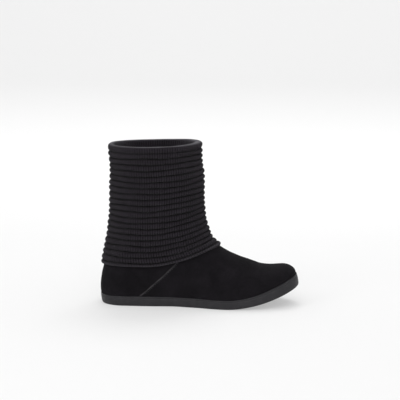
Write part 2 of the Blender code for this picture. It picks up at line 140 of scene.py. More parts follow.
@dataclass(frozen=True)
class BootForm:
    """The last and leg that every piece is laid on: one surface, read ring by ring.

    A level is a height above the sole as a function of X. X here starts at the heel's back.
    """

    length: float = 262 * MM
    ball_width: float = 94 * MM
    heel_width: float = 65 * MM
    boot_height: float = 214.3 * MM
    rim_drop: float = 3.8 * MM
    rim_sag: float = 1.2 * MM
    rim_middle: float = 0.274
    rim_reach: float = 0.235
    instep_height: float = 61 * MM
    shaft_width: float = 89 * MM
    heel_thickness: float = 13 * MM
    forepart_thickness: float = 12.2 * MM
    toe_thickening: float = 2.6 * MM
    toe_spring: float = 25.8 * MM
    arch_lift: float = 0.5 * MM
    hem_height: float = 39.5 * MM
    hem_lift: float = 25.5 * MM
    middle_y: float = -0.44 * MM
    toe_roundness: float = 2.25
    heel_roundness: float = 2.2
    leg_roundness: float = 2.25
    spring_power: float = 1.84
    samples: int = 240
    outline: tuple[OutlineRow, ...] = (
        OutlineRow(0.00, -0.005, 1.00, 0.000),
        OutlineRow(0.13, -0.006, 1.00, 0.004),
        OutlineRow(0.27, -0.013, 0.95, 0.030),
        OutlineRow(0.36, -0.032, 0.65, 0.210),
        OutlineRow(0.48, -0.050, 0.35, 0.476),
        OutlineRow(0.57, -0.050, 0.12, 0.774),
        OutlineRow(0.63, -0.040, 0.00, 0.940),
        OutlineRow(0.70, -0.018, 0.00, 0.996),
        OutlineRow(0.78, 0.006, 0.00, 0.985),
        OutlineRow(0.86, 0.025, 0.00, 0.943),
        OutlineRow(0.92, 0.033, 0.00, 0.905),
        OutlineRow(1.00, 0.040, 0.00, 0.872),
    )
    front_line: tuple[ProfileRow, ...] = (
        ProfileRow(0.000, 0.000, 0.9866),
        ProfileRow(0.101, 0.000, 0.9780),
        ProfileRow(0.229, 0.000, 0.9546),
        ProfileRow(0.318, 0.000, 0.9244),
        ProfileRow(0.371, 0.000, 0.8939),
        ProfileRow(0.415, 0.000, 0.8637),
        ProfileRow(0.466, 0.000, 0.8336),
        ProfileRow(0.535, 0.000, 0.8031),
        ProfileRow(0.633, 0.000, 0.7729),
        ProfileRow(0.783, 0.000, 0.7126),
        ProfileRow(0.924, 0.000, 0.6519),
        ProfileRow(1.000, 0.000, 0.6170),
        ProfileRow(1.000, 0.027, 0.5954),
        ProfileRow(1.000, 0.058, 0.5725),
        ProfileRow(1.000, 0.095, 0.5534),
        ProfileRow(1.000, 0.143, 0.5393),
        ProfileRow(1.000, 0.198, 0.5300),
        ProfileRow(1.000, 0.250, 0.5215),
        ProfileRow(1.000, 0.300, 0.5153),
        ProfileRow(1.000, 0.380, 0.5103),
        ProfileRow(1.000, 0.480, 0.5068),
        ProfileRow(1.000, 0.580, 0.5072),
        ProfileRow(1.000, 0.730, 0.5046),
        ProfileRow(1.000, 0.830, 0.4962),
        ProfileRow(1.000, 0.920, 0.4931),
        ProfileRow(1.000, 1.000, 0.4943),
    )
    back_line: tuple[ProfileRow, ...] = (
        ProfileRow(0.000, 0.000, 0.0027),
        ProfileRow(0.066, 0.000, 0.0008),
        ProfileRow(0.164, 0.000, 0.0000),
        ProfileRow(0.262, 0.000, 0.0008),
        ProfileRow(0.361, 0.000, 0.0034),
        ProfileRow(0.443, 0.000, 0.0065),
        ProfileRow(0.525, 0.000, 0.0115),
        ProfileRow(0.607, 0.000, 0.0164),
        ProfileRow(0.705, 0.000, 0.0206),
        ProfileRow(0.820, 0.000, 0.0248),
        ProfileRow(0.951, 0.000, 0.0305),
        ProfileRow(1.000, 0.059, 0.0385),
        ProfileRow(1.000, 0.140, 0.0458),
        ProfileRow(1.000, 0.228, 0.0527),
        ProfileRow(1.000, 0.323, 0.0580),
        ProfileRow(1.000, 0.433, 0.0603),
        ProfileRow(1.000, 0.616, 0.0618),
        ProfileRow(1.000, 0.800, 0.0634),
        ProfileRow(1.000, 0.910, 0.0557),
        ProfileRow(1.000, 1.000, 0.0527),
    )
    leg_widths: tuple[ProfileRow, ...] = (
        ProfileRow(0.00, 0.00, 0.790),
        ProfileRow(0.66, 0.00, 0.805),
        ProfileRow(1.00, 0.15, 0.835),
        ProfileRow(1.00, 0.36, 0.890),
        ProfileRow(1.00, 0.60, 0.935),
        ProfileRow(1.00, 0.84, 0.970),
        ProfileRow(1.00, 1.00, 1.000),
    )
    hem_line: tuple[HemRow, ...] = (
        HemRow(0.000, 0.00),
        HemRow(0.220, 0.00),
        HemRow(0.300, 0.06),
        HemRow(0.357, 0.18),
        HemRow(0.435, 0.39),
        HemRow(0.490, 0.60),
        HemRow(0.530, 0.765),
        HemRow(0.570, 0.90),
        HemRow(0.610, 0.98),
        HemRow(0.660, 1.00),
    )
    seam_line: tuple[ProfileRow, ...] = (
        ProfileRow(0.00, 0.00, 0.208),
        ProfileRow(0.15, 0.00, 0.248),
        ProfileRow(0.30, 0.00, 0.286),
        ProfileRow(0.49, 0.00, 0.341),
        ProfileRow(0.72, 0.00, 0.404),
        ProfileRow(1.00, 0.00, 0.434),
        ProfileRow(1.00, 0.15, 0.415),
        ProfileRow(1.00, 0.35, 0.300),
        ProfileRow(1.00, 1.00, 0.270),
    )

    def __post_init__(self) -> None:
        """Turns the tables into curves."""
        along = [row.along * self.length for row in self.outline]
        widths = [(row.heel * self.heel_width + row.ball * self.ball_width) / 2 for row in self.outline]
        curves = {
            "plan_centre": smooth_curve(along, [row.centre * self.ball_width for row in self.outline]),
            "plan_half": smooth_curve(along, widths),
            "front_x": self.line_by_rise(self.front_line, self.length),
            "back_x": self.line_by_rise(self.back_line, self.length),
            "seam_x": self.line_by_rise(self.seam_line, self.length),
            "leg_half": self.line_by_rise(self.leg_widths, self.shaft_width / 2),
            "hem_rise": smooth_curve(
                [row.along * self.length for row in self.hem_line],
                [self.hem_height + row.lift * self.hem_lift for row in self.hem_line],
            ),
        }
        for name, curve in curves.items():
            object.__setattr__(self, name, curve)

    @property
    def leg_height(self) -> float:
        """Height of the leg above the instep."""
        return self.rear_drop - self.instep_height

    @property
    def rear_drop(self) -> float:
        """Height of the rim above the sole at the calf."""
        return self.boot_height - self.rim_drop - self.heel_thickness

    @property
    def shaft_drop(self) -> float:
        """Height of the shaft from hem to rim at the calf."""
        return self.rear_drop - self.hem_height

    @property
    def feather_front(self) -> float:
        """X of the upper's front where it meets the sole."""
        return self.front_line[0].along * self.length

    def line_by_rise(self, rows: Sequence[ProfileRow], scale: float) -> Level:
        """A profile's value as a curve of the height above the sole.

        Args:
            rows: the profile's table.
            scale: size that its last column is a share of.

        Returns:
            A function of the height above the sole.
        """
        rises = [row.foot * self.instep_height + row.leg * self.leg_height for row in rows]
        return smooth_curve(rises, [row.along * scale for row in rows])

    def spring(self, x: np.ndarray) -> np.ndarray:
        """Share of the toe spring's run at x, 0 behind its start."""
        start = 0.63 * self.length
        return np.clip((x - start) / (self.length - start), 0, None)

    def sole_bottom(self, x: np.ndarray) -> np.ndarray:
        """Height of the sole's underside at x."""
        middle = np.clip((x / self.length - 0.27) / 0.23, 0, 1)
        lift = self.arch_lift * np.sin(np.pi * middle) ** 2
        return self.toe_spring * self.spring(x) ** self.spring_power + lift

    def sole_top(self, x: np.ndarray) -> np.ndarray:
        """Height of the sole's upper face at x."""
        ahead = self.spring(x)
        run = 0.37 * self.length
        slope = self.toe_spring * self.spring_power * ahead ** (self.spring_power - 1) / run
        thinning = smooth_step(x, 0.34 * self.length, 0.60 * self.length)
        thickness = self.heel_thickness + (self.forepart_thickness - self.heel_thickness) * thinning
        thickness = thickness + self.toe_thickening * smooth_step(x, 0.70 * self.length, 0.95 * self.length)
        return self.toe_spring * ahead**self.spring_power + thickness * np.sqrt(1 + slope**2)

    def crown(self, x: np.ndarray) -> np.ndarray:
        """Height of the vamp's ridge above the sole at x, without limit where the leg stands."""
        rises = np.linspace(0, 1.6 * self.instep_height, 400)
        xs = self.front_x(rises)
        ridge = np.interp(x, np.append(xs[::-1], self.length), np.append(rises[::-1], 0))
        return ridge + 4 * np.clip(xs[-1] - x, 0, None)

    def rim_rise(self, x: np.ndarray) -> np.ndarray:
        """Height of the rim above the sole at x."""
        sag = self.rim_sag * np.clip(1 - ((x / self.length - self.rim_middle) / self.rim_reach) ** 2, 0, 1)
        slope = self.rim_drop * (1 - np.clip(2 * x / self.length, 0, 1))
        return self.boot_height - slope - sag - self.sole_top(x)

    def leg_level(self, share: float) -> Level:
        """Level at a share of the way from hem to rim."""
        return lambda x: self.hem_rise(x) + share * (self.rim_rise(x) - self.hem_rise(x))

    def foot_level(self, share: float, start: float = 0.0) -> Level:
        """Level at a share of the way from a start above the sole up to the hem."""
        return lambda x: start + share * (self.hem_rise(x) - start)

    def flat_level(self, rise: float) -> Level:
        """Level at one height above the sole."""
        return lambda x: rise + 0 * x

    def ends(self, level: Level) -> tuple[float, float]:
        """X of the form's back and front at a level."""
        low, high = 0.35 * self.length, self.feather_front
        for _ in range(40):
            middle = (low + high) / 2
            if self.front_x(level(middle)) > middle:
                low = middle
            else:
                high = middle
        return float(self.back_x(level(0.0))), (low + high) / 2

    def half_section(
        self, x: np.ndarray, rise: np.ndarray, back: float, front: float
    ) -> tuple[np.ndarray, np.ndarray]:
        """Centre line and half width of the form.

        Args:
            x: places along the boot.
            rise: height above the sole at each.
            back: X of the ring's back.
            front: X of the ring's front.

        Returns:
            Y of the centre and half the width at each place.
        """
        waist, toe_start = 0.35 * self.length, 0.74 * self.length
        plan = np.where(x < waist, (x - back) * waist / (waist - back), x)
        heel = 1 - np.clip(2 * plan / self.heel_width, 0, 1)
        heel_round = (1 - heel**self.heel_roundness) ** (1 / self.heel_roundness)
        toe = np.clip((x - toe_start) / (self.feather_front - toe_start), 0, 1)
        toe_round = (1 - toe**self.toe_roundness) ** (1 / self.toe_roundness)
        fullness = 1.75 + 0.45 * smooth_step(x, 0.57 * self.length, 0.90 * self.length)
        dome = (1 - np.clip(rise / self.crown(x), 0, 1) ** fullness) ** (1 / fullness)
        foot = self.plan_half(plan) * heel_round * toe_round * dome
        share = np.clip((x - back) / (front - back), 0, 1)
        oval = (1 - np.abs(2 * share - 1) ** self.leg_roundness) ** (1 / self.leg_roundness)
        to_leg = smooth_step(rise, 0.40 * self.instep_height, 1.35 * self.instep_height)
        half = foot * (1 - to_leg) + self.leg_half(rise) * oval * to_leg
        return self.plan_centre(x) * (1 - to_leg), half

    def side(self, level: Level, side: Side) -> np.ndarray:
        """One side of the form at a level, from back to front, as points."""
        back, front = self.ends(level)
        x = back + (front - back) * (1 - np.cos(np.linspace(0, np.pi, self.samples))) / 2
        rise = level(x)
        centre, half = self.half_section(x, rise, back, front)
        return np.column_stack([x, centre + side.value * half, self.sole_top(x) + rise])

    def ring(self, level: Level, spacing: "Spacing") -> np.ndarray:
        """One closed section of the form: along the outer side to the front, back along the inner.

        Args:
            level: height above the sole as a function of x.
            spacing: how the points are shared out along each side.

        Returns:
            Points of the ring. The first one is at the back and isn't repeated.
        """
        seam = self.seam_x(level(0.3 * self.length))
        sides = []
        for side in (Side.LATERAL, Side.MEDIAL):
            line = self.side(level, side)
            run = np.concatenate([[0], np.cumsum(np.linalg.norm(np.diff(line, axis=0), axis=1))])
            places = spacing.places(run, line[:, 0], seam)
            sides.append(np.column_stack([np.interp(places, run, line[:, k]) for k in range(3)]))
        return np.concatenate([sides[0], sides[1][-2:0:-1]])

    def skin(self, level: Level, spacing: "Spacing") -> tuple[np.ndarray, np.ndarray]:
        """A ring of the form and the directions square to its surface."""
        probe = 2 * MM
        ring = self.ring(level, spacing)
        over = self.ring(lambda x: level(x) + probe, spacing)
        under = self.ring(lambda x: np.maximum(level(x) - probe, 0), spacing)
        out = np.cross(along_ring(ring), over - under)
        return ring, out / np.linalg.norm(out, axis=1)[:, None]

    def to_frame(self, points: np.ndarray) -> np.ndarray:
        """Points moved from the heel's back to the frame's origin."""
        return points - (self.length / 2, self.middle_y, 0)


@dataclass(frozen=True)
class Spacing:
    """Even columns round a ring, or columns that crowd on both sides of the side seam."""

    rear: int
    front: int
    near_seam: tuple[float, ...] = ()

    def places(self, run: np.ndarray, x: np.ndarray, seam: float) -> np.ndarray:
        """Distances along one side at which its columns stand.

        Args:
            run: distance along the side at each of its samples.
            x: X at each of its samples.
            seam: X of the side seam.

        Returns:
            Distances from the back to the front, both included.
        """
        if not self.near_seam:
            return np.linspace(0, run[-1], self.rear + self.front + 1)
        middle = np.interp(seam, x, run)
        close = middle + np.asarray(self.near_seam)
        rear = np.linspace(0, close[0], self.rear + 1)[:-1]
        front = np.linspace(close[-1], run[-1], self.front + 2)[1:]
        return np.concatenate([rear, close, front])


def along_ring(ring: np.ndarray) -> np.ndarray:
    """Direction along a ring at each of its points."""
    way = np.roll(ring, -1, axis=0) - np.roll(ring, 1, axis=0)
    return way / np.linalg.norm(way, axis=1)[:, None]


def plan_offset(ring: np.ndarray, distance: np.ndarray) -> np.ndarray:
    """A ring moved out in plan only. Its heights stay as they are."""
    way = along_ring(ring * (1, 1, 0))
    out = np.column_stack([way[:, 1], -way[:, 0], 0 * way[:, 0]])
    return ring + out * np.reshape(distance, (-1, 1))


def surface_normals(rows: np.ndarray) -> np.ndarray:
    """Directions square to a surface given as rows of closed rings."""
    across = np.roll(rows, -1, axis=1) - np.roll(rows, 1, axis=1)
    up = np.roll(rows, -1, axis=0) - np.roll(rows, 1, axis=0)
    out = np.cross(across, up)
    return out / (np.linalg.norm(out, axis=2)[:, :, None] + 1e-12)


def soft_noise(
    seed: int, places: Sequence[np.ndarray], waves: Sequence[float], count: int = 5
) -> np.ndarray:
    """Slow unevenness between about -1 and 1, the same in each run.

    Args:
        seed: picks the pattern.
        places: arrays of coordinates, each in turns.
        waves: the most waves per turn along each of them.
        count: how many waves are summed.

    Returns:
        The unevenness at each place.
    """
    draw = np.random.default_rng(seed)
    total = 0.0
    for _ in range(count):
        angle = draw.uniform(0, 2 * np.pi)
        for place, most in zip(places, waves):
            angle = angle + 2 * np.pi * draw.integers(1, int(most) + 1) * place * draw.choice([-1, 1])
        total = total + np.sin(angle)
    return total / math.sqrt(count)


def deselect() -> None:
    """Leaves no object selected."""
    bpy.ops.object.select_all(action="DESELECT")


def only(piece: bpy.types.Object) -> None:
    """Selects one object alone and makes it the active one."""
    deselect()
    piece.select_set(True)
    bpy.context.view_layer.objects.active = piece


def joined(pieces: Sequence[bpy.types.Object]) -> bpy.types.Object:
    """Joins pieces into the first one."""
    only(pieces[0])
    for piece in pieces:
        piece.select_set(True)
    bpy.ops.object.join()
    return bpy.context.active_object


def wrap_grid(
    name: str,
    rows: np.ndarray,
    uv: np.ndarray,
    smooth_angle: float = 60.0,
    marks: Optional[dict[str, np.ndarray]] = None,
    tube: bool = True,
) -> bpy.types.Object:
    """A closed skin: a grid primitive laid on rows of rings, then welded along its edges.

    Args:
        name: name of the piece.
        rows: points as rows of rings.
        uv: size along and across in the units of the pattern, as (columns' total, place of each row).
        smooth_angle: edges sharper than this stay sharp, in degrees.
        marks: values for each point, by the name of the attribute that keeps them.
        tube: the last row joins the first one. If not, both have to close on themselves.

    Returns:
        The piece, a closed mesh with a UV map.
    """
    row_count, column_count = rows.shape[:2]
    strips = row_count if tube else row_count - 1
    bpy.ops.mesh.primitive_grid_add(x_subdivisions=column_count, y_subdivisions=strips, size=1)
    piece = bpy.context.active_object
    piece.name = name
    mesh = piece.data
    flat = np.empty(len(mesh.vertices) * 3)
    mesh.vertices.foreach_get("co", flat)
    flat = flat.reshape(-1, 3)
    column = np.rint((flat[:, 0] + 0.5) * column_count).astype(int)
    row = np.rint((flat[:, 1] + 0.5) * strips).astype(int)
    placed = rows[row % row_count, column % column_count]
    mesh.vertices.foreach_set("co", placed.ravel())
    corners = np.empty(len(mesh.loops), dtype=np.int32)
    mesh.loops.foreach_get("vertex_index", corners)
    around = column[corners] / column_count * uv[0]
    up = np.interp(row[corners], np.arange(len(uv) - 1), uv[1:])
    mesh.uv_layers.active.data.foreach_set("uv", np.column_stack([around, up]).ravel())
    for mark, values in (marks or {}).items():
        kept = mesh.attributes.new(mark, "FLOAT", "POINT")
        kept.data.foreach_set("value", values[row % row_count, column % column_count].ravel())
    mesh.update()
    only(piece)
    bpy.ops.object.mode_set(mode="EDIT")
    bpy.ops.mesh.select_all(action="SELECT")
    bpy.ops.mesh.remove_doubles(threshold=1e-6)
    bpy.ops.mesh.normals_make_consistent(inside=False)
    bpy.ops.object.mode_set(mode="OBJECT")
    bpy.ops.object.shade_smooth_by_angle(angle=math.radians(smooth_angle))
    return piece


def run_lengths(rows: np.ndarray) -> np.ndarray:
    """Mean distance from the first row to each row, with the closing step back at the end."""
    steps = np.linalg.norm(np.diff(np.concatenate([rows, rows[:1]]), axis=0), axis=2).mean(axis=1)
    return np.concatenate([[0], np.cumsum(steps)])


def linear(hex_code: str) -> tuple[float, float, float, float]:
    """An sRGB hex value as a linear colour with full alpha."""
    channels = [int(hex_code[i : i + 2], 16) / 255 for i in (1, 3, 5)]
    turned = [c / 12.92 if c <= 0.04045 else ((c + 0.055) / 1.055) ** 2.4 for c in channels]
    return (*turned, 1.0)


def node(
    tree: Tree,
    kind: str,
    settings: Optional[dict] = None,
    links: Optional[dict] = None,
) -> bpy.types.Node:
    """Adds a shader node with its settings and links.

    Args:
        tree: the material's node tree.
        kind: type of the node, without its ShaderNode prefix.
        settings: properties by name, and values of input sockets by name or index.
        links: output sockets to link, by the input's name or index.

    Returns:
        The new node.
    """
    made = tree.nodes.new("ShaderNode" + kind)
    for key, value in (settings or {}).items():
        if isinstance(key, str) and hasattr(made, key):
            setattr(made, key, value)
        else:
            made.inputs[key].default_value = value
    for key, source in (links or {}).items():
        tree.links.new(source, made.inputs[key])
    return made


def calc(tree: Tree, operation: str, *values: Union[float, Socket]) -> Socket:
    """Adds a maths node.

    Args:
        tree: the material's node tree.
        operation: name of the sum, such as MULTIPLY_ADD.
        values: numbers and sockets that it works on, in order.

    Returns:
        The node's output.
    """
    numbers = {place: value for place, value in enumerate(values) if isinstance(value, (int, float))}
    sockets = {place: value for place, value in enumerate(values) if place not in numbers}
    return node(tree, "Math", {"operation": operation, **numbers}, sockets).outputs[0]


def object_place(tree: Tree) -> Socket:
    """Place on the object, in metres."""
    return node(tree, "TexCoord").outputs["Object"]


def noise(tree: Tree, place: Socket, size: float, detail: float, **more: float) -> Socket:
    """Cloudy noise whose patches have a real size, with its other settings by their names."""
    settings = {"Scale": 1 / size, "Detail": detail, **more}
    return node(tree, "TexNoise", settings, {"Vector": place}).outputs["Fac"]


def mark(tree: Tree, name: str) -> Socket:
    """Values that the mesh keeps for each point under a name."""
    return node(tree, "Attribute", {"attribute_name": name}).outputs["Fac"]


def shade(tree: Tree, share: Socket, ends: tuple[float, float], colours: tuple[str, str]) -> Socket:
    """A colour that turns from the first to the second while the share runs between its ends."""
    ramp = node(tree, "ValToRGB", None, {0: share})
    for stop, end, colour in zip(ramp.color_ramp.elements, ends, colours):
        stop.position = end
        stop.color = linear(colour)
    return ramp.outputs["Color"]


def blend(tree: Tree, share: Socket, base: Socket, over: str) -> Socket:
    """A colour laid over another one, by a share."""
    return node(tree, "Mix", {"data_type": "RGBA", 7: linear(over)}, {0: share, 6: base}).outputs[2]


def spread(tree: Tree, share: Socket, low: float, high: float) -> Socket:
    """A value between low and high, by a share."""
    return node(tree, "MapRange", {"To Min": low, "To Max": high}, {0: share}).outputs[0]


def bumps(tree: Tree, height: Socket, strength: float, distance: float) -> Socket:
    """Normals of a fine relief of a real height."""
    settings = {"Strength": strength, "Distance": distance}
    return node(tree, "Bump", settings, {"Height": height}).outputs["Normal"]


def start_material(name: str) -> tuple[bpy.types.Material, Tree, bpy.types.Node]:
    """A new material with its tree and its Principled shader."""
    material = bpy.data.materials.new(name)
    material.use_nodes = True
    tree = material.node_tree
    return material, tree, tree.nodes["Principled BSDF"]


def set_shader(shader: bpy.types.Node, links: dict[str, Socket], values: dict) -> None:
    """Links what varies to a shader's inputs, and sets what is even as plain values."""
    for name, source in links.items():
        shader.id_data.links.new(source, shader.inputs[name])
    for name, value in values.items():
        shader.inputs[name].default_value = value


@dataclass(frozen=True)
class BrushedSuede:
    """Split cowhide, dyed black and brushed: no gloss, a soft nap that lies in patches lighter or
    darker by its direction, and a fine pile that catches light at the outline."""

    colour: str = "#131214"
    lit_nap: str = "#1c1a1d"
    # colour of the painted highlight along the vamp's lapped edge
    painted_edge_highlight: str = "#403e40"
    nap_patch: float = 24 * MM
    nap_streak: float = 3.2 * MM
    pile: float = 0.7 * MM  # the real pile is finer than the render shows
    patch_share: float = 0.55
    streak_share: float = 0.30
    pile_share: float = 0.15
    pile_height: float = 0.16 * MM
    roughness: float = 0.92
    gloss: float = 0.02
    sheen: float = 0.015

    def material(self) -> bpy.types.Material:
        """The finish as a material on Object coordinates."""
        made, tree, shader = start_material("brushed_suede")
        place = object_place(tree)
        patches = noise(tree, place, self.nap_patch, 3.0, Distortion=0.6)
        streaks = noise(tree, place, self.nap_streak, 4.0, Roughness=0.65)
        pile = noise(tree, place, self.pile, 2.0, Roughness=0.7)
        share = calc(tree, "MULTIPLY", patches, self.patch_share)
        share = calc(tree, "MULTIPLY_ADD", streaks, self.streak_share, share)
        share = calc(tree, "MULTIPLY_ADD", pile, self.pile_share, share)
        nap = shade(tree, share, (0.36, 0.66), (self.colour, self.lit_nap))
        relief = calc(tree, "MULTIPLY_ADD", streaks, 0.5, pile)
        links = {
            # painted highlight along the vamp's lapped edge, by the mesh's mark
            "Base Color": blend(tree, mark(tree, "painted_edge_highlight"), nap, self.painted_edge_highlight),
            "Normal": bumps(tree, relief, 0.8, self.pile_height),
        }
        values = {
            "Roughness": self.roughness,
            "Specular IOR Level": self.gloss,
            "Sheen Weight": self.sheen,
            "Sheen Roughness": 0.5,
        }
        set_shader(shader, links, values)
        return made


@dataclass(frozen=True)
class WoolKnit:
    """Wool and acrylic yarn, knitted: matt and soft, each stitch a slanted loop, with a little fuzz and
    sheen. Painted shade darkens the gaps between the stitches, the lines between the columns and the
    welts' valleys; a painted highlight lightens the rim, the hem and the ends of the lining."""

    colour: str = "#312d33"
    # colour of the painted shade in the gaps between stitches, the lines between columns and the welts'
    # valleys
    shade_colour: str = "#040304"
    # colour of the painted highlight on the rim, the hem and the ends of the lining
    highlight_colour: str = "#656368"
    yarn_height: float = 0.7 * MM
    slant: float = 0.9  # rows that a stitch's leg climbs across half a column
    column_shade: float = 1.0  # how dark the painted shade line between two columns of stitches is
    fuzz: float = 0.6 * MM  # size of the fine unevenness of the yarn
    wear: float = 18 * MM  # size of the worn patches
    roughness: float = 0.95
    gloss: float = 0.06
    sheen: float = 0.06

    def material(self) -> bpy.types.Material:
        """The finish as a material on the piece's own UV map, counted in stitches."""
        made, tree, shader = start_material("wool_knit")
        split = node(tree, "SeparateXYZ", None, {0: node(tree, "UVMap").outputs["UV"]})
        across = calc(tree, "FRACT", split.outputs["X"])
        side = calc(tree, "ABSOLUTE", calc(tree, "SUBTRACT", across, 0.5))
        climb = calc(tree, "MULTIPLY_ADD", side, 2 * self.slant, split.outputs["Y"])
        wave = calc(tree, "COSINE", calc(tree, "MULTIPLY", climb, 2 * math.pi))
        wave = calc(tree, "MULTIPLY_ADD", wave, 0.5, 0.5)
        leg = calc(tree, "SINE", calc(tree, "MULTIPLY", side, 2 * math.pi))
        leg = calc(tree, "POWER", leg, 0.6)
        loop = calc(tree, "MULTIPLY_ADD", leg, 0.5, calc(tree, "MULTIPLY", leg, wave))
        place = object_place(tree)
        relief = calc(tree, "MULTIPLY_ADD", noise(tree, place, self.fuzz, 3.0), 0.25, loop)
        tone = calc(tree, "MULTIPLY_ADD", noise(tree, place, self.wear, 2.0), 0.5, relief)
        # painted shade: a dark line between two columns of stitches
        line = calc(tree, "POWER", calc(tree, "MULTIPLY", side, 2.0), 3.0)
        tone = calc(tree, "ADD", tone, calc(tree, "MULTIPLY", line, -self.column_shade))
        # painted shade in the loops' hollows and between the columns; the worn patches are the yarn's own
        # tone
        yarn = shade(tree, tone, (0.35, 1.0), (self.shade_colour, self.colour))
        # painted shade in the welts' valleys, by the mesh's valley mark
        sunk = blend(tree, mark(tree, "valley"), yarn, self.shade_colour)
        links = {
            # painted highlight on the rim, the hem and the ends of the lining, by the mesh's mark
            "Base Color": blend(tree, mark(tree, "painted_highlight"), sunk, self.highlight_colour),
            "Normal": bumps(tree, relief, 0.9, self.yarn_height),
        }
        values = {
            "Roughness": self.roughness,
            "Specular IOR Level": self.gloss,
            "Sheen Weight": self.sheen,
            "Sheen Roughness": 0.4,
        }
        set_shader(shader, links, values)
        return made


@dataclass(frozen=True)
class MouldedRubber:
    """Black thermoplastic rubber, moulded with a fine matt texture: dark grey where light falls
    on it, slightly scuffed and dusty in patches."""

    colour: str = "#212023"
    dust: str = "#2c2b2e"
    grain: float = 0.9 * MM  # the mould's real texture is finer than the render shows
    grain_height: float = 0.05 * MM
    scuff: float = 9 * MM
    smoothest: float = 0.47
    roughest: float = 0.69
    gloss: float = 0.3

    def material(self) -> bpy.types.Material:
        """The finish as a material on Object coordinates."""
        made, tree, shader = start_material("moulded_rubber")
        place = object_place(tree)
        scuff = noise(tree, place, self.scuff, 5.0, Roughness=0.6)
        links = {
            "Base Color": shade(tree, scuff, (0.42, 0.75), (self.colour, self.dust)),
            "Roughness": spread(tree, scuff, self.smoothest, self.roughest),
            "Normal": bumps(tree, noise(tree, place, self.grain, 2.0), 0.6, self.grain_height),
        }
        set_shader(shader, links, {"Specular IOR Level": self.gloss})
        return made


@dataclass(frozen=True)
class WovenCover:
    """Polyester twill over the insole: dark grey, matt, with a fine diagonal line."""

    colour: str = "#2b2a2e"
    line: str = "#161518"
    twill: float = 1.4 * MM  # the real twill is finer than the render shows
    twill_height: float = 0.2 * MM
    scale_factor: float = 0.31  # divided by the twill's size, this is the texture's scale
    roughness: float = 0.9

    def material(self) -> bpy.types.Material:
        """The finish as a material on Object coordinates."""
        made, tree, shader = start_material("woven_cover")
        bands = {"wave_type": "BANDS", "bands_direction": "DIAGONAL", "Distortion": 0.4}
        bands["Scale"] = self.scale_factor / self.twill
        twill = node(tree, "TexWave", bands, {"Vector": object_place(tree)}).outputs["Fac"]
        links = {
            "Base Color": shade(tree, twill, (0.0, 1.0), (self.line, self.colour)),
            "Normal": bumps(tree, twill, 0.5, self.twill_height),
        }
        set_shader(shader, links, {"Roughness": self.roughness})
        return made


@dataclass(frozen=True)
class BondedThread:
    """Bonded nylon sewing thread, black, with the soft gloss of its coating."""

    colour: str = "#161517"
    twist: float = 0.5 * MM
    twist_height: float = 0.08 * MM
    roughness: float = 0.6

    def material(self) -> bpy.types.Material:
        """The finish as a material on Object coordinates."""
        made, tree, shader = start_material("bonded_thread")
        twist = noise(tree, object_place(tree), self.twist, 1.0)
        values = {"Base Color": linear(self.colour), "Roughness": self.roughness}
        set_shader(shader, {"Normal": bumps(tree, twist, 0.4, self.twist_height)}, values)
        return made


@dataclass(frozen=True)
class LightTable:
    """Opal acrylic sheet of a product table, lit from behind: white, flat, with weak shadows."""

    colour: str = "#b3b3b3"
    glow: float = 0.405
    cloud: float = 2 / 3
    smoothest: float = 0.85
    roughest: float = 0.95

    def material(self) -> bpy.types.Material:
        """The finish as a material with a faint unevenness."""
        made, tree, shader = start_material("opal_acrylic")
        cloud = noise(tree, object_place(tree), self.cloud, 1.0)
        values = {
            "Base Color": linear(self.colour),
            "Specular IOR Level": 0.0,
            "Emission Color": (1, 1, 1, 1),
            "Emission Strength": self.glow,
        }
        set_shader(shader, {"Roughness": spread(tree, cloud, self.smoothest, self.roughest)}, values)
        return made


class Crease(NamedTuple):
    """A soft trough over the vamp or ankle. along: share of the length on the ridge. lean: how far
    it runs back towards the sole, share of the length. depth and width in metres."""

    along: float
    lean: float
    depth: float
    width: float


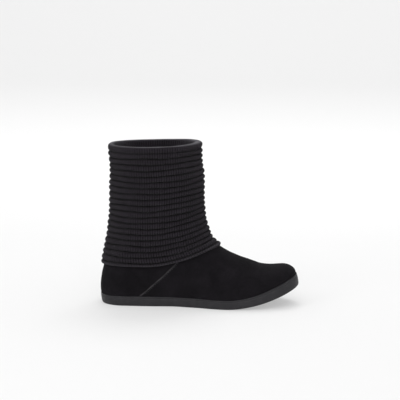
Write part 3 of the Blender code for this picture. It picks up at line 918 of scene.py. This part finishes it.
@dataclass
class SuedeLower:
    """The suede lower: quarter and vamp in one hollow wall, the vamp lapped over the quarter."""

    form: BootForm
    finish: BrushedSuede = field(default_factory=BrushedSuede)
    wall: float = 2 * MM
    lap: float = 0.9 * MM
    lap_run: float = 30 * MM
    lap_step: float = 0.45 * MM
    edge_lip: float = 0.45 * MM
    lip_run: float = 1.2 * MM
    sewn_line: float = 2.6 * MM
    sewn_depth: float = 0.22 * MM
    sewn_width: float = 0.9 * MM
    # width of the painted highlight along the vamp's lapped edge
    highlight_width: float = 1.3 * MM
    lump_height: float = 0.12 * MM
    gather_height: float = 0.16 * MM
    gather_reach: float = 9 * MM
    lasting_margin: float = 8 * MM
    clearance: float = 0.3 * MM
    collar_lap: float = 33 * MM
    hem_share: float = 0.72  # this much of the wall's way is below the knit's hem
    outer_rows: int = 96
    inner_rows: int = 18
    spacing: Spacing = Spacing(
        rear=52,
        front=150,
        near_seam=tuple(step * MM for step in SEAM_COLUMNS),
    )
    creases: tuple[Crease, ...] = (
        Crease(0.700, 0.030, 0.55 * MM, 7 * MM),
        Crease(0.655, 0.045, 0.40 * MM, 6 * MM),
        Crease(0.760, 0.020, 0.35 * MM, 8 * MM),
    )

    def level(self, share: float) -> Level:
        """Level at a share of the wall's way from the sole to its collar."""
        collar = self.collar_lap / self.form.shaft_drop
        if share < self.hem_share:
            return self.form.foot_level(share / self.hem_share, self.clearance)
        return self.form.leg_level((share - self.hem_share) / (1 - self.hem_share) * collar)

    def relief(self, level: Level, ring: np.ndarray) -> np.ndarray:
        """How far the wall's face stands from the form: the lap, its lip and the creases."""
        seam = self.form.seam_x(level(0.3 * self.form.length))
        ahead = ring[:, 0] - seam
        step = smooth_step(ahead, -self.lap_step, 0.0)
        quarter = -self.lap * np.clip(1 + ahead / self.lap_run, 0, 1) * (1 - step)
        lip = self.edge_lip * step * np.exp(-np.maximum(ahead, 0) / self.lip_run)
        sewn = -self.sewn_depth * hump(ahead, self.sewn_line, self.sewn_width)
        rise = level(ring[:, 0])
        seated = smooth_step(rise, 0.0, 4 * MM)
        fold = 0.0
        for crease in self.creases:
            depth_share = np.clip(rise / self.form.crown(ring[:, 0]), 0, 1)
            line = (crease.along - crease.lean * (1 - depth_share) ** 1.5) * self.form.length
            near = (ring[:, 0] - line) / crease.width
            shape = hump(near, 0, 1) - 0.45 * hump(near, 1.6, 1) - 0.35 * hump(near, -1.7, 1)
            fold = fold - crease.depth * shape * smooth_step(depth_share, 0.25, 0.75)
        turns = ring[:, 0] / self.form.length
        lumps = self.lump_height * soft_noise(11, (turns, rise / self.form.length), (9, 11))
        low = 1 - smooth_step(rise, 0.5 * MM, self.gather_reach)
        gather = self.gather_height * low * soft_noise(12, (turns,), (46,), 7)
        return quarter + lip + sewn + seated * (fold + lumps) + gather * smooth_step(turns, 0.75, 0.9)

    def painted_edge_highlight(self, level: Level, ring: np.ndarray) -> np.ndarray:
        """Share of the painted highlight along the vamp's lapped edge in the colour at each point of a ring.
        """
        height = level(0.3 * self.form.length)
        ahead = ring[:, 0] - self.form.seam_x(height)
        # the painted highlight's strength wanders along the edge
        painted_light_noise = 0.8 + 0.2 * soft_noise(13, (np.asarray(height / self.form.instep_height),), (7,))
        return np.clip(painted_light_noise, 0, 1) * hump(ahead, -0.2 * MM, self.highlight_width)

    def build(self) -> bpy.types.Object:
        """Builds the wall, from its collar's outside down, under the foot and up inside."""
        form, rows, edges = self.form, [], []
        for share in np.linspace(0, 1, self.outer_rows):
            level = self.level(float(share))
            ring, out = form.skin(level, self.spacing)
            rows.append(ring + out * self.relief(level, ring)[:, None])
            edges.append(self.painted_edge_highlight(level, ring))
        for share in np.linspace(1, 0.06, self.inner_rows):
            level = self.level(float(share))
            ring, out = form.skin(level, self.spacing)
            rows.append(ring - out * (self.wall + self.lap / 2))
        floor = form.flat_level(self.clearance + self.wall)
        ring, out = form.skin(floor, self.spacing)
        rows.append(ring - out * (self.wall + self.lap / 2))
        inside = plan_offset(form.ring(form.flat_level(0), self.spacing), -self.lasting_margin)
        for rise in (self.clearance + self.wall, self.clearance):
            rows.append(np.column_stack([inside[:, 0], inside[:, 1], form.sole_top(inside[:, 0]) + rise]))
        grid = form.to_frame(np.array(rows))
        # painted highlight along the vamp's lapped edge, on the outer rows only
        edge = np.zeros(grid.shape[:2])
        edge[: len(edges)] = edges
        lengths = run_lengths(grid)
        piece = wrap_grid("suede_lower", grid, np.concatenate([[0.65], lengths]), 75, {"painted_edge_highlight": edge})
        piece.data.materials.append(self.finish.material())
        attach(piece, ROOT)
        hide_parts("upper")
        return piece


@dataclass
class SeamStitches:
    """A row of sewn stitches along the lapped edge of the vamp, on both sides."""

    form: BootForm
    lower: SuedeLower
    finish: BondedThread = field(default_factory=BondedThread)
    pitch: float = 3.4 * MM
    stitch: float = 2.5 * MM
    thread: float = 0.6 * MM
    stand: float = 0.08 * MM
    start: float = 0.04
    end: float = 0.80
    route_steps: int = 50

    def route(self, side: Side) -> tuple[np.ndarray, np.ndarray]:
        """Points along the seam on one side and the directions square to the suede there."""
        points, normals = [], []
        inset = self.lower.sewn_line
        spacing = Spacing(2, 2, (inset - 0.5 * MM, inset, inset + 0.5 * MM))
        middle = 3
        for share in np.linspace(self.start, self.end, self.route_steps):
            level = self.lower.level(float(share))
            ring, out = self.form.skin(level, spacing)
            index = middle if side is Side.LATERAL else len(ring) - middle
            points.append(ring[index] + out[index] * self.lower.relief(level, ring)[index])
            normals.append(out[index])
        return self.form.to_frame(np.array(points)), np.array(normals)

    def build(self) -> bpy.types.Object:
        """Models one stitch, copies it along both seams and joins the copies."""
        bpy.ops.mesh.primitive_uv_sphere_add(segments=8, ring_count=6, radius=0.5)
        pattern = bpy.context.active_object
        stitches = []
        for side in Side:
            points, normals = self.route(side)
            run = np.concatenate([[0], np.cumsum(np.linalg.norm(np.diff(points, axis=0), axis=1))])
            for place in np.arange(self.pitch, run[-1] - self.pitch, self.pitch):
                at = Vector([np.interp(place, run, points[:, k]) for k in range(3)])
                ahead = Vector([np.interp(place + 1 * MM, run, points[:, k]) for k in range(3)])
                out = Vector([np.interp(place, run, normals[:, k]) for k in range(3)]).normalized()
                way = (ahead - at).normalized()
                across = way.cross(out).normalized()
                turn = Matrix((across, way, out)).transposed().to_4x4()
                size = Matrix.Diagonal((self.thread, self.stitch, self.thread, 1))
                copy = pattern.copy()
                copy.data = pattern.data.copy()
                bpy.context.scene.collection.objects.link(copy)
                copy.data.transform(Matrix.Translation(at + out * self.stand) @ turn @ size)
                stitches.append(copy)
        bpy.data.objects.remove(pattern)
        piece = joined(stitches)
        piece.name = "seam_stitches"
        bpy.ops.object.shade_smooth()
        piece.data.materials.append(self.finish.material())
        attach(piece, ROOT)
        return piece


@dataclass
class KnitShaft:
    """The knitted shaft: lining up to the rim, turned over, and down outside in level welts to
    a rolled hem. Stitches run in columns round the leg."""

    form: BootForm
    finish: WoolKnit = field(default_factory=WoolKnit)
    outer_layer: float = 3.8 * MM
    inner_layer: float = 3.6 * MM
    welt_count: int = 19
    welt_depth: float = 3.5 * MM
    welt_puff: float = 0.5 * MM
    hem_band: float = 4.4 * MM
    rim_band: float = 8.5 * MM
    rim_fullness: float = 3 * MM
    # The start of the turned rim: height above the last welt and distance out
    rim_start: tuple[tuple[float, float], ...] = ((1.2 * MM, 3.2 * MM), (2.6 * MM, 3.7 * MM))
    collar_lap: float = 33 * MM
    clearance: float = 0.3 * MM
    slow_stray: float = 0.0024  # how far the welts wander, as shares of the leg's drop
    quick_stray: float = 0.0021
    slouch: float = 0.22 * MM
    lump_height: float = 0.12 * MM
    stitch_height: float = 1.75 * MM
    stitch_relief: float = 0.36 * MM
    columns_per_stitch: int = 4
    stitches_around: int = 104
    rows_per_welt: int = 8
    lining_rows: int = 46

    def face(self) -> list[tuple[float, float]]:
        """The outside from hem to rim, as (share of the drop, distance out from the form)."""
        drop = self.form.shaft_drop
        hem, rim = self.hem_band / drop, 1 - self.rim_band / drop
        crest = self.outer_layer + self.welt_puff
        valley = crest - self.welt_depth
        pitch = (rim - hem) / self.welt_count
        face = []
        roll = 0.80
        for turn in np.linspace(-0.5, 0.5, 7):
            lift = (math.sin(math.pi * turn) + 1) / 2
            face.append((lift * roll * hem, 0.55 * crest + 0.42 * crest * math.cos(math.pi * turn)))
        face.append((0.92 * hem, 0.52 * crest))
        steps = self.welt_count * self.rows_per_welt
        for step in range(steps):
            phase = (step / self.rows_per_welt) % 1
            round_out = (1 - abs(2 * phase - 1) ** 1.9) ** 0.72
            face.append((hem + step / self.rows_per_welt * pitch, valley + (crest - valley) * round_out))
        face.append((rim, valley + 0.1 * MM))
        return face

    def rim(self) -> list[tuple[float, float]]:
        """The turned rim, from the outside over the top to the lining."""
        wall = self.outer_layer + self.inner_layer
        middle = (self.outer_layer - self.inner_layer) / 2
        drop = self.form.shaft_drop
        made = [(1 - (self.rim_band - step) / drop, out) for step, out in self.rim_start]
        for angle in np.linspace(0, 1, 14):
            out = middle + wall / 2 * math.cos(math.pi * angle)
            made.append((1 - wall / 2 * (1 - math.sin(math.pi * angle)) / drop, out))
        return made

    def unevenness(self, turns: np.ndarray, share: float) -> tuple[np.ndarray, np.ndarray]:
        """How a hand-finished knit strays: shift along the leg and shift outwards.

        Args:
            turns: place round the leg, in turns.
            share: share of the way from hem to rim.

        Returns:
            Shift in share of the drop, and shift outwards in metres.
        """
        height = np.full_like(turns, share)
        free = smooth_step(height, 0.0, 0.08) * (1 - smooth_step(height, 0.90, 1.0))
        along = self.slow_stray * soft_noise(21, (turns, height), (5, 4))
        along = along + self.quick_stray * soft_noise(24, (turns, height), (13, 9))
        slouch = self.slouch * soft_noise(22, (turns, height), (5, 6), 6)
        lumps = self.lump_height * soft_noise(23, (turns, height), (19, 26), 7)
        return along * free, (slouch + lumps) * smooth_step(height, 0.0, 0.03)

    def fold_fullness(self, share: float, ring: np.ndarray) -> np.ndarray:
        """How much thicker the wall is where its turn stands loose, at the shin."""
        length = self.form.length
        ahead = smooth_step(ring[:, 0], 0.36 * length, 0.49 * length)
        return self.rim_fullness * ahead * smooth_step(np.asarray(share), 0.82, 0.94)

    def painted_highlight(self, profile: np.ndarray, turns: np.ndarray) -> np.ndarray:
        """How much painted highlight shows at the rim, the hem and the ends of the lining.

        Args:
            profile: share of the drop and distance out of each row.
            turns: place round the leg of each column, in turns.

        Returns:
            The share of the painted highlight in the colour at each point.
        """
        shares, outs = profile[:, :1], profile[:, 1:]
        drop, hem = self.form.shaft_drop, self.hem_band / self.form.shaft_drop
        # painted highlight on the rim's crest and the hem's roll, and on the lining near the back and front
        # where it stands lit
        at_rim = smooth_step(shares, 1 - 1.3 * MM / drop, 1 - 0.1 * MM / drop)
        at_hem = (1 - smooth_step(shares, 0.4 * hem, 0.8 * hem)) * (outs > 1 * MM)
        in_lining = smooth_step(shares, 0.88, 0.97) * (outs < 0)
        uneven = 0.75 + 0.25 * soft_noise(25, (turns,), (16,), 6)
        ends = np.cos(2 * np.pi * turns) ** 4
        return np.clip((0.9 * at_rim + 0.16 * at_hem) * uneven + 0.32 * in_lining * ends, 0, 1)

    def build(self) -> bpy.types.Object:
        """Builds the shaft as one closed skin with its stitches in relief."""
        form, drop = self.form, self.form.shaft_drop
        half = self.stitches_around * self.columns_per_stitch // 2
        spacing = Spacing(half // 2, half - half // 2)
        turns = np.arange(2 * half) / (2 * half)
        outer = self.face() + self.rim()
        seat = self.collar_lap / drop + self.clearance / drop
        lining = [(float(s), -self.inner_layer) for s in np.linspace(0.965, seat, self.lining_rows)]
        hidden = [(seat, self.clearance)]
        hidden += [(share * self.collar_lap / drop, self.clearance) for share in (0.67, 0.34, 0.0)]
        rows, shown, valley_shades = [], [], []
        wall = self.outer_layer + self.inner_layer
        rim_start = 1 - self.rim_band / drop
        for share, out in outer + lining:
            along, bulge = self.unevenness(turns, share)
            ring, square = form.skin(form.leg_level(share), spacing)
            lifted = form.ring(form.leg_level(share + 0.01), spacing)
            inward = (self.outer_layer - out) / wall * self.fold_fullness(share, ring)
            stand = out - inward + bulge * np.sign(out)
            rows.append(ring + square * stand[:, None] + (lifted - ring) * (along / 0.01)[:, None])
            shown.append(1.0)
            # painted shade in the welts' valleys, darker the deeper the face sinks, unevenly along the leg
            sunk = (self.outer_layer + self.welt_puff - out) / self.welt_depth
            valley_shade = smooth_step(np.full_like(turns, sunk), 0.2, 0.85) if 0 < share < rim_start else 0 * turns
            # uneven strength of the painted valley shade
            painted_light_noise = soft_noise(26, (turns, np.full_like(turns, share)), (9, 23), 6)
            valley_shades.append(valley_shade * (0.88 + 0.14 * painted_light_noise))
        for share, out in hidden:
            ring, square = form.skin(form.leg_level(share), spacing)
            rows.append(ring + square * out)
            shown.append(0.0)
            valley_shades.append(0 * turns)
        grid = form.to_frame(np.array(rows))
        columns = np.cos(2 * np.pi * np.arange(2 * half) / self.columns_per_stitch)
        relief = self.stitch_relief * columns[None, :] * np.array(shown)[:, None]
        grid = grid + surface_normals(grid) * relief[:, :, None]
        lengths = run_lengths(grid) / self.stitch_height
        # painted highlight on the rim, the hem and the ends of the lining
        painted_highlight = self.painted_highlight(np.array(outer + lining + hidden), turns)
        # the valley mark carries the painted shade of the welts' valleys
        marks = {"valley": np.clip(np.array(valley_shades), 0, 1), "painted_highlight": painted_highlight}
        piece = wrap_grid("knit_shaft", grid, np.concatenate([[self.stitches_around], lengths]), 80, marks)
        piece.data.materials.append(self.finish.material())
        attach(piece, ROOT)
        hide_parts("shaft")
        return piece


@dataclass
class UnitSole:
    """The moulded sole: plain side with a thin bead along its top, tread grooves underneath."""

    form: BootForm
    finish: MouldedRubber = field(default_factory=MouldedRubber)
    edge_step: float = 0.4 * MM
    chamfer: float = 1.2 * MM
    heel_undercut: float = 2 * MM
    toe_flare: float = 3.1 * MM
    bead_height: float = 2.2 * MM
    bead_groove: float = 0.35 * MM
    lasting_margin: float = 8 * MM
    clearance: float = 0.3 * MM
    upper_wall: float = 2 * MM
    groove_depth: float = 1.8 * MM
    groove_width: float = 3 * MM
    groove_pitch: float = 9.5 * MM
    groove_margin: float = 9 * MM
    columns: int = 150

    def side_ring(self, share: float, out: float = 0.0) -> np.ndarray:
        """A ring on the sole's side.

        Args:
            share: 0 at the floor, 1 at the upper edge.
            out: how far the ring stands out from the plain side.

        Returns:
            Points of the ring.
        """
        form = self.form
        feather = form.ring(form.flat_level(0), self.spacing)
        x = feather[:, 0]
        top = plan_offset(feather, self.edge_step)
        heel_share = 1 - smooth_step(x, 0, 0.22 * form.length)
        toe_share = smooth_step(x, 0.62 * form.length, 0.94 * form.length)
        under = self.heel_undercut * (0.25 + 0.75 * heel_share) * (1 - toe_share)
        foot = plan_offset(top, self.toe_flare * toe_share - under)
        belly = 0.5 * MM * 4 * share * (1 - share)
        ring = plan_offset(foot + (top - foot) * share, belly + out)
        place = ring[:, 0]
        ring[:, 2] = form.sole_bottom(place) + share * (form.sole_top(place) - form.sole_bottom(place))
        return ring

    @property
    def spacing(self) -> Spacing:
        """Even columns along each side."""
        return Spacing(self.columns // 2, self.columns - self.columns // 2)

    def shrunk(self, ring: np.ndarray, share: float, height: Level) -> np.ndarray:
        """A ring drawn in towards its own middle line, on a face of a given height."""
        mirror = np.concatenate([ring[:1], ring[:0:-1]])
        middle = (ring + mirror) / 2
        made = middle + (ring - middle) * share
        made[:, 2] = height(made[:, 0])
        return made

    def build(self) -> bpy.types.Object:
        """Builds the sole and cuts its tread."""
        form = self.form
        thickness = form.heel_thickness
        top_edge = plan_offset(self.side_ring(1.0), -self.chamfer * 0.6)
        top_edge[:, 2] = form.sole_top(top_edge[:, 0])
        feather = form.ring(form.flat_level(0), self.spacing)
        plateau = plan_offset(feather, -(self.lasting_margin + self.clearance))

        def raised(x: np.ndarray) -> np.ndarray:
            """Height of the plateau that fills the upper's open bottom."""
            return form.sole_top(x) + self.upper_wall

        rows = [self.shrunk(plateau, share, raised) for share in (0.0, 0.5, 1.0)]
        rows.append(self.shrunk(plateau, 1.0, form.sole_top))
        rows.append(top_edge)
        bead = 1 - self.bead_height / thickness
        profile = [(0.985, -0.12), (0.955, 0.0), (0.92, 0.04), (bead + 0.035, 0.02), (bead + 0.015, -0.5)]
        profile += [(bead - 0.015, -1.0), (bead - 0.04, -0.25)]
        rows += [self.side_ring(share, out * self.bead_groove) for share, out in profile]
        rows += [self.side_ring(float(share)) for share in np.linspace(bead - 0.08, 0.16, 8)]
        rounded = ((0.09, -0.12), (0.04, -0.42), (0.012, -0.85))
        rows += [self.side_ring(share, out * MM) for share, out in rounded]
        foot = plan_offset(self.side_ring(0.0), -1.35 * MM)
        rows += [self.shrunk(foot, float(share), form.sole_bottom) for share in np.linspace(1.0, 0.0, 9)]
        grid = form.to_frame(np.array(rows))
        piece = wrap_grid("unit_sole", grid, np.concatenate([[0.65], run_lengths(grid)]), 50, tube=False)
        self.cut_tread(piece)
        piece.data.materials.append(self.finish.material())
        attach(piece, ROOT)
        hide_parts("outsole")
        return piece

    def cut_tread(self, piece: bpy.types.Object) -> None:
        """Cuts the cross grooves of heel and forefoot with one joined cutter."""
        form = self.form
        cutters = []
        for first, last in ((0.045, 0.255), (0.515, 0.925)):
            count = int((last - first) * form.length / self.groove_pitch) + 1
            for place in first * form.length + self.groove_pitch * np.arange(count):
                near = np.array([place - self.groove_pitch / 2, place, place + self.groove_pitch / 2])
                centre, half = form.half_section(near, 0 * near, float(form.back_x(0.0)), form.feather_front)
                tilt = math.atan2(form.sole_bottom(place + MM) - form.sole_bottom(place - MM), 2 * MM)
                at = form.to_frame(np.array([place, centre[1], form.sole_bottom(place)]))
                bpy.ops.mesh.primitive_cube_add(size=1)
                cutter = bpy.context.active_object
                size = (self.groove_width, 2 * (half.min() - self.groove_margin), 2 * self.groove_depth, 1)
                turn = Matrix.Rotation(-tilt, 4, "Y")
                cutter.data.transform(Matrix.Translation(at) @ turn @ Matrix.Diagonal(size))
                cutters.append(cutter)
        tool = joined(cutters)
        cut = piece.modifiers.new("tread", "BOOLEAN")
        cut.operation = "DIFFERENCE"
        cut.solver = "EXACT"
        cut.object = tool
        only(piece)
        bpy.ops.object.modifier_apply(modifier=cut.name)
        bpy.data.objects.remove(tool)


class SoftBox(NamedTuple):
    """A square soft box. place: where it hangs. size: length of its side. power: in watts.
    aim: what it faces."""

    name: str
    place: tuple[float, float, float]
    size: float
    power: float
    aim: tuple[float, float, float] = (0, 0, 0.1)


@dataclass
class Studio:
    """Pale floor, wall, soft light and the camera at the photograph's place."""

    distance: float = 2.13
    camera_height: float = 0.459
    aim_height: float = 0.1367
    turn: float = 3.0
    roll: float = 0.3
    lens: float = 146.0
    sensor: float = 36.0
    ambient: float = 0.85
    boxes: tuple[SoftBox, ...] = (
        SoftBox("key_box", (0.1, -2.1, 1.9), 1.4, 16),
        SoftBox("fill_box", (-1.6, -1.5, 1.3), 1.2, 10),
        SoftBox("top_box", (0.1, 0.9, 1.8), 1.0, 14),
        SoftBox("wall_wash", (0, 1.6, 2.6), 3.0, 44, (0, 5.2, 1.0)),
    )

    def floor(self) -> bpy.types.Object:
        """A floor that curves up into the wall behind the boot."""
        bpy.ops.mesh.primitive_plane_add(size=8, location=(0, 1.2, 0))
        piece = bpy.context.active_object
        piece.name = "studio_floor"
        bpy.ops.object.mode_set(mode="EDIT")
        bpy.ops.mesh.select_mode(type="EDGE")
        bpy.ops.object.mode_set(mode="OBJECT")
        for edge in piece.data.edges:
            edge.select = all(piece.data.vertices[i].co.y > 3.9 for i in edge.vertices)
        bpy.ops.object.mode_set(mode="EDIT")
        bpy.ops.mesh.extrude_region_move(TRANSFORM_OT_translate={"value": (0, 0, 5)})
        bpy.ops.object.mode_set(mode="OBJECT")
        bpy.ops.object.transform_apply(location=True, rotation=True, scale=True)
        bend = piece.modifiers.new("cove", "BEVEL")
        bend.width = 1.6
        bend.segments = 16
        bpy.ops.object.modifier_apply(modifier=bend.name)
        bpy.ops.object.shade_smooth_by_angle(angle=math.radians(12))
        piece.data.materials.append(LightTable().material())
        return piece

    def light(self, box: SoftBox) -> None:
        """Hangs a soft box."""
        bpy.ops.object.light_add(type="AREA", location=box.place)
        lamp = bpy.context.active_object
        lamp.name = box.name
        lamp.data.shape = "SQUARE"
        lamp.data.size = box.size
        lamp.data.energy = box.power
        lamp.rotation_euler = (Vector(box.aim) - Vector(box.place)).to_track_quat("-Z", "Y").to_euler()

    def world(self) -> None:
        """Even white light from all round."""
        world = bpy.data.worlds.new("studio_light")
        world.use_nodes = True
        background = world.node_tree.nodes["Background"]
        background.inputs["Color"].default_value = (1, 1, 1, 1)
        background.inputs["Strength"].default_value = self.ambient
        bpy.context.scene.world = world

    def camera(self) -> None:
        """The camera, on the outer side and a little in front of square."""
        level = math.sqrt(self.distance**2 - (self.camera_height - self.aim_height) ** 2)
        angle = math.radians(self.turn)
        place = Vector((level * math.sin(angle), -level * math.cos(angle), self.camera_height))
        bpy.ops.object.camera_add(location=place)
        camera = bpy.context.active_object
        camera.name = "photo_camera"
        look = (Vector((0, 0, self.aim_height)) - place).to_track_quat("-Z", "Y").to_matrix().to_4x4()
        roll = Matrix.Rotation(math.radians(self.roll), 4, "Z")
        camera.matrix_world = Matrix.Translation(place) @ look @ roll
        camera.data.lens = self.lens
        camera.data.sensor_width = self.sensor
        bpy.context.scene.camera = camera

    def build(self) -> None:
        """Sets the whole stage."""
        self.floor()
        self.world()
        for box in self.boxes:
            self.light(box)
        self.camera()
        bpy.context.scene.view_settings.view_transform = "Standard"


def dress_insole() -> None:
    """Gives the CAD insole its woven cover."""
    insole = bpy.data.objects["insole"]
    cover = WovenCover().material()
    for place in insole.material_slots:
        place.material = cover


def report(piece: bpy.types.Object) -> None:
    """Logs a finished piece with its size in triangles."""
    count = sum(len(face.vertices) - 2 for face in piece.data.polygons)
    LOG.info("%s: %d triangles", piece.name, count)


def main() -> None:
    """Builds the boot's pieces in order and sets the stage."""
    logging.basicConfig(level=logging.INFO, format="%(name)s %(message)s")
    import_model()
    deselect()
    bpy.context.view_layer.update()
    form = BootForm()
    lower = SuedeLower(form)
    for part in (UnitSole(form), lower, SeamStitches(form, lower), KnitShaft(form)):
        report(part.build())
    dress_insole()
    Studio().build()
    deselect()


if __name__ == "__main__":
    main()
